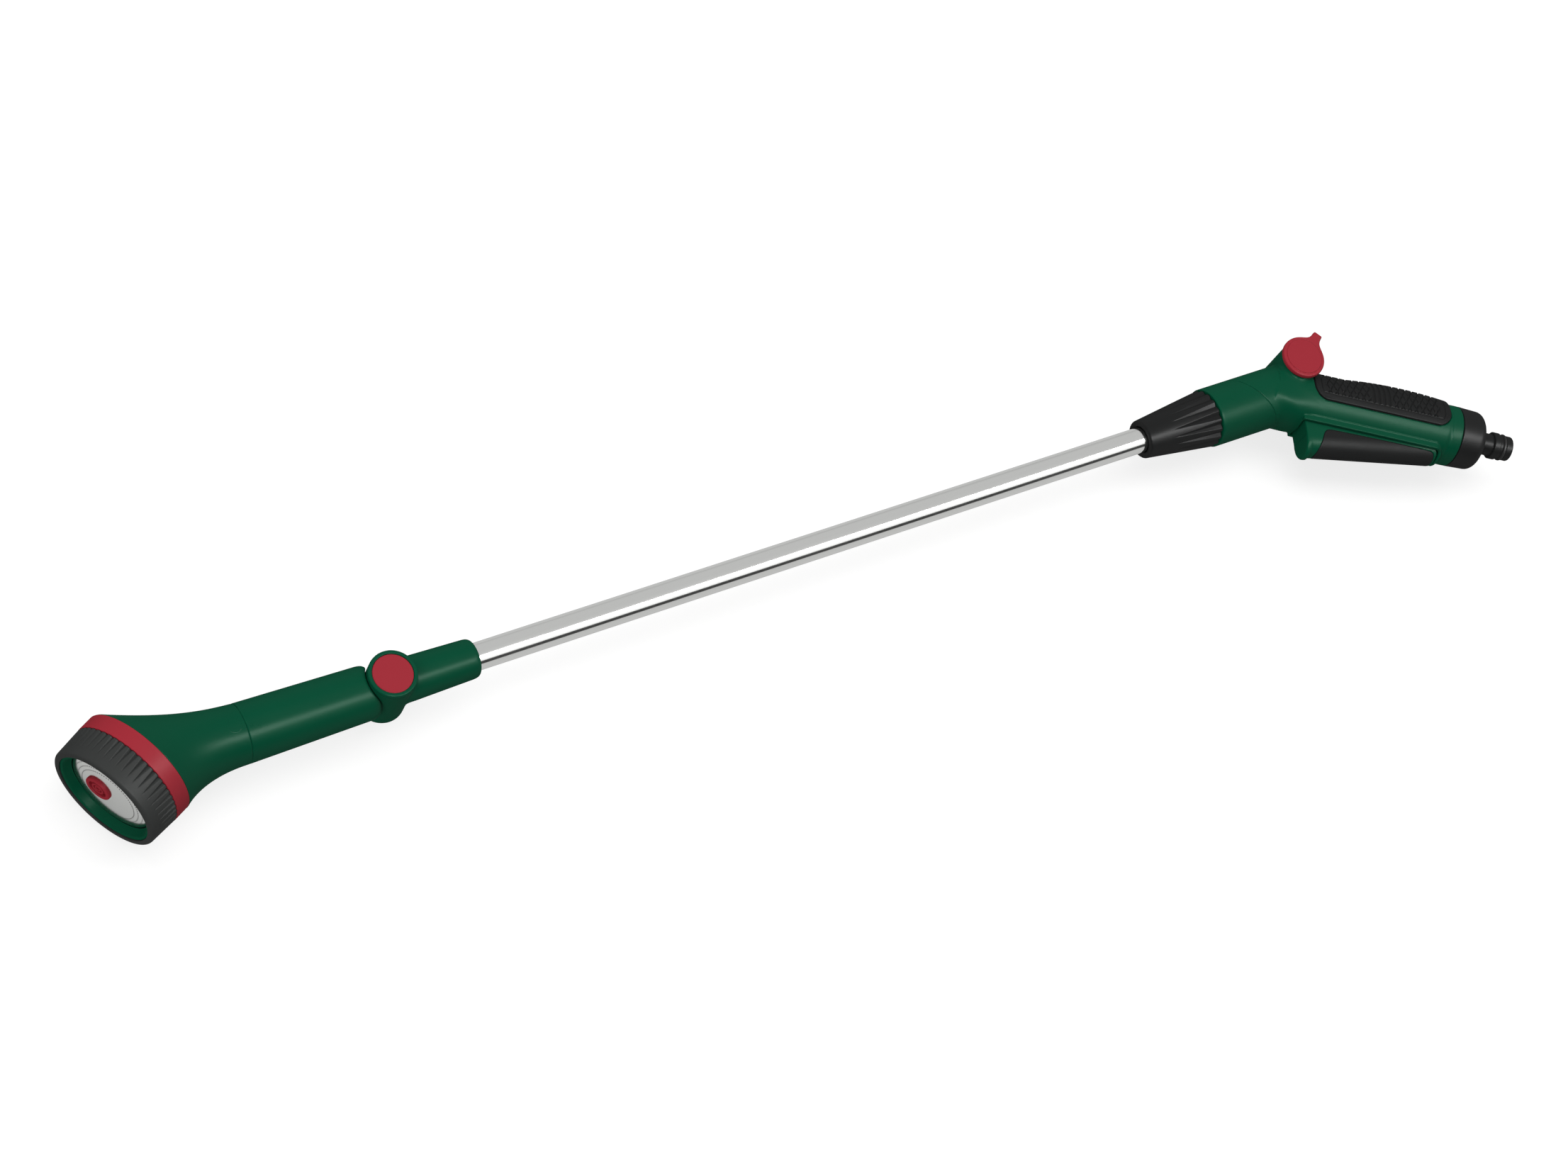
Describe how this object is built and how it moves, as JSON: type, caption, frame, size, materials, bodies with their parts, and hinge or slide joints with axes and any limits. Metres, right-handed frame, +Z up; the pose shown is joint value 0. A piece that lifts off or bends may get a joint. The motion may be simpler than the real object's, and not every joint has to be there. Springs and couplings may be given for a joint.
{
  "type": "watering wand",
  "caption": "Watering wand with a tilting rose head, a dial for shower or jet, a polished tube, a bent grip with flow valve and squeeze trigger, and a push-fit hose nipple.",
  "frame": {"origin": "middle of the ridge on the push-fit hose nipple, on its axis", "axes": "+X along the tube from the rose to the handle, +Y towards the palm side of the grip, +Z up out of the side with the valve knob; the wand lies on its side"},
  "size_m": [0.9447, 0.1228, 0.0696],
  "materials": {
    "green": "satin moulded",
    "red": "satin moulded",
    "black": "fine satin",
    "soft_black": "matte soft grip",
    "light_grey": "satin",
    "inner_black": "plain moulded",
    "tube_metal": "polished",
    "steel": "plain",
    "seal": "smooth"
  },
  "bodies": {
    "handle": {"tube": "tube_metal", "tube_socket": "green", "swivel_cap": "red", "seat_seal": "seal", "socket_seal": "seal", "collet": "inner_black", "tube_seal": "seal", "barrel_front": "green", "handle_body": "green", "grip_pad": "soft_black", "valve_gland": "inner_black", "valve_cap": "green", "trigger_pin": "steel", "valve_core": "inner_black", "core_seal": "seal", "inlet_collar": "black", "inlet_seal": "seal", "inlet_filter": "inner_black", "hose_nipple": "black", "nipple_o_ring": "seal", "return_spring": "steel"},
    "head": {"neck": "green", "neck_seal": "seal", "bell": "green", "accent_ring": "red", "port_plate": "inner_black", "port_seal": "seal", "dial_screw": "steel", "swivel_core": "green", "swivel_o_rings": "seal"},
    "dial": {"bezel": "black", "face_cup": "green", "spray_plate": "light_grey", "jet_nozzle": "red", "dial_core": "inner_black", "dial_seal": "seal"},
    "nut": {"clamp_nut": "black"},
    "knob": {"valve_knob": "red", "valve_plug": "inner_black", "valve_o_rings": "seal"},
    "lever": {"trigger": "green", "trigger_insert": "soft_black"},
    "spool": {"plunger": "inner_black", "plunger_o_rings": "seal"}
  },
  "joints": [
    {"name": "head_tilt", "type": "hinge", "parent": "handle", "child": "head", "pos_m": [-0.74841, 0.07772, 0], "axis": [0, 0, 1], "range_deg": [-45, 15]},
    {"name": "dial_turn", "type": "hinge", "parent": "head", "child": "dial", "pos_m": [-0.89141, 0.07992, 0], "axis": [-0.8854, -0.4648, 0], "range_deg": [0, 180]},
    {"name": "nut_turn", "type": "hinge", "parent": "handle", "child": "nut", "pos_m": [-0.21301, 0.07772, 0], "axis": [1, 0, 0], "range_deg": [0, 180]},
    {"name": "knob_turn", "type": "hinge", "parent": "handle", "child": "knob", "pos_m": [-0.11466, 0.08889, 0], "axis": [0, 0, 1], "range_deg": [0, 90]},
    {"name": "trigger_squeeze", "type": "hinge", "parent": "handle", "child": "lever", "pos_m": [-0.05261, 0.01511, 0], "axis": [0, 0, -1], "range_deg": [0, 8], "stiffness_Nm_per_rad": 4, "springref_deg": -2.86, "deforming": ["return_spring"]},
    {"name": "plunger_slide", "type": "slide", "parent": "handle", "child": "spool", "axis": [0.5045, 0.8634, 0], "range_m": [0, 0.0064]}
  ],
  "couplings": [
    {"joint": "plunger_slide", "follows": "trigger_squeeze", "m_per_rad": 0.04512}
  ]
}
